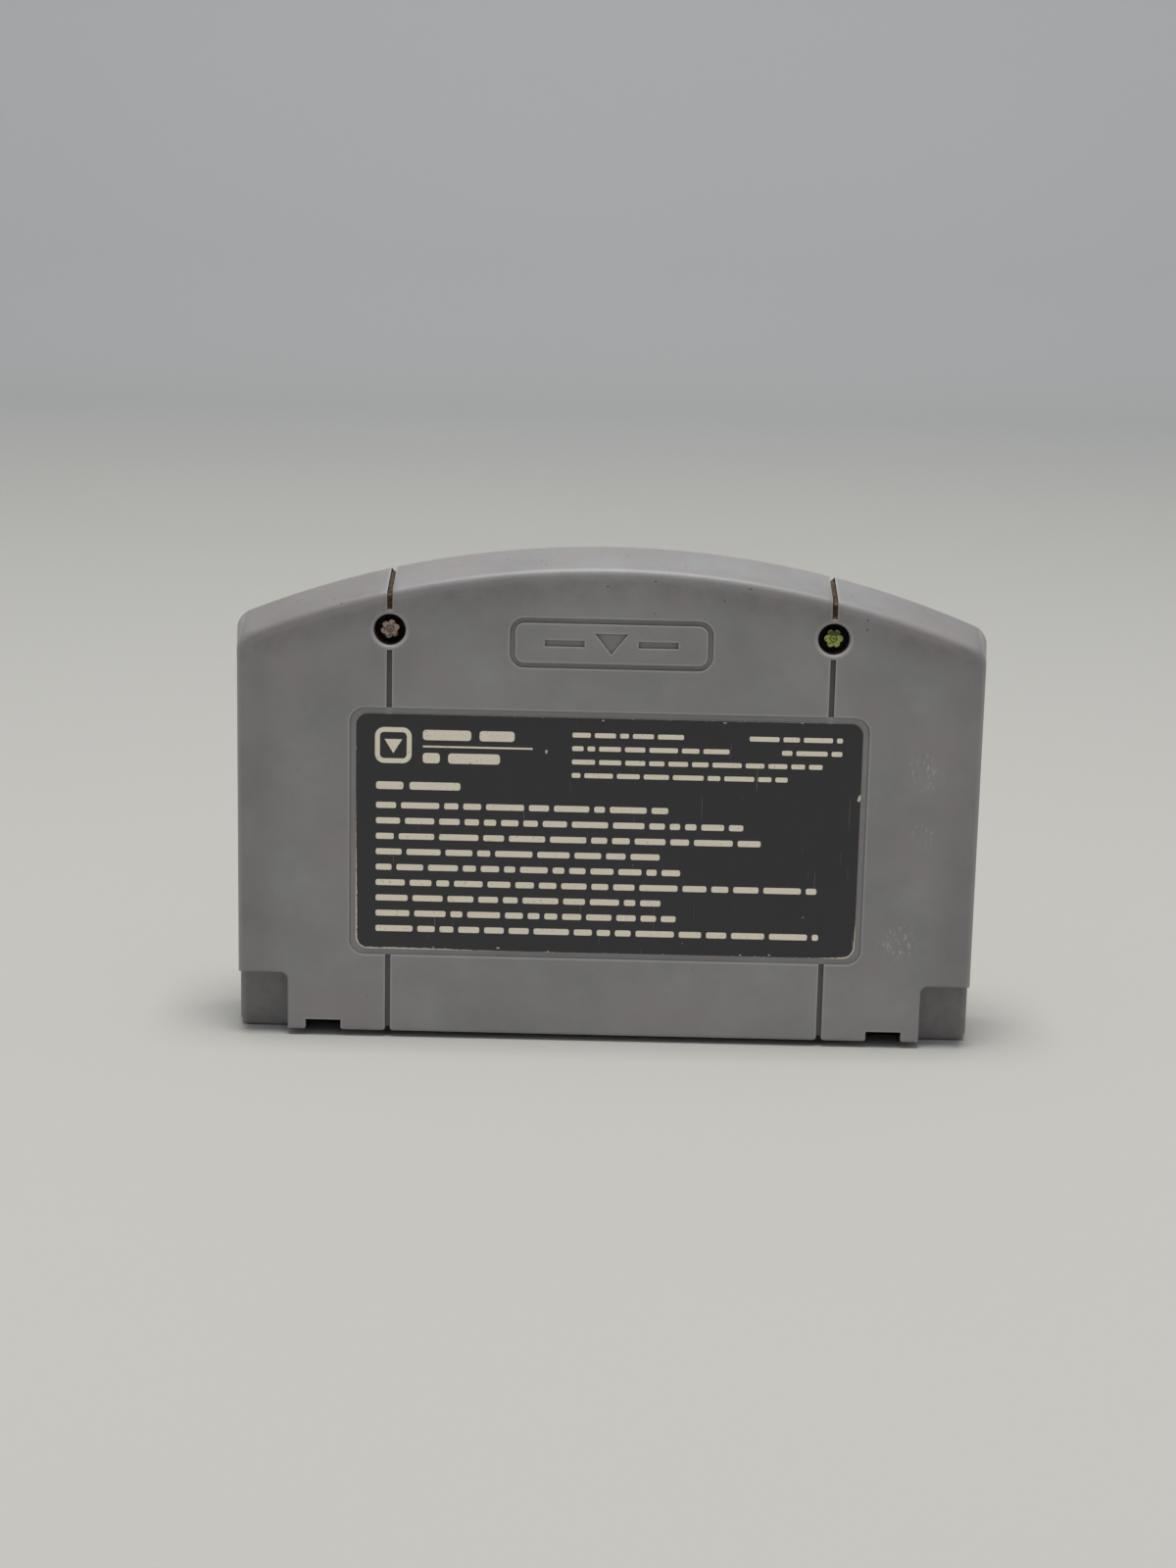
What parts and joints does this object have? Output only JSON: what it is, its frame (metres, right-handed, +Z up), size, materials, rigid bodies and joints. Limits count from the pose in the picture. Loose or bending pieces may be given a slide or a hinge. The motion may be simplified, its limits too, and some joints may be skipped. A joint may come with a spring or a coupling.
{
  "type": "game cartridge",
  "caption": "Flat grey game cartridge with an arched top, two screwed shells, a label on each face and a board edge connector in the foot.",
  "frame": {"origin": "middle of the foot, on the plane it stands on", "axes": "+X along the width, +Y through the thickness from the rear face with the screws towards the front face, +Z up from the connector foot to the arched top"},
  "size_m": [0.1156, 0.0186, 0.0765],
  "materials": {
    "shell_plastic": "fine grained, matt",
    "rear_label_print": "printed film, satin",
    "front_label_print": "printed film, gloss",
    "screw_steel": "tarnished",
    "board_laminate": "solder mask",
    "contact_plating": "gold plated",
    "chip_resin": "moulded, matt",
    "lead_tin": "tinned",
    "capacitor_ceramic": "fired ceramic",
    "resistor_glaze": "glazed",
    "shield_steel": "tin plated sheet",
    "fastener_steel": "zinc plated"
  },
  "bodies": {
    "root": {"rear_shell": "shell_plastic", "front_shell": "shell_plastic", "rear_label": "rear_label_print", "front_label": "front_label_print", "case_screws": "screw_steel", "circuit_board": "board_laminate", "edge_contacts": "contact_plating", "rom_chip": "chip_resin", "lockout_chip": "chip_resin", "save_chip": "chip_resin", "rom_chip_leads": "lead_tin", "lockout_chip_leads": "lead_tin", "save_chip_leads": "lead_tin", "capacitor_ends": "lead_tin", "resistor_ends": "lead_tin", "filter_capacitors": "capacitor_ceramic", "resistors": "resistor_glaze", "rear_shield": "shield_steel", "front_shield": "shield_steel", "shield_screws": "fastener_steel"}
  },
  "joints": []
}
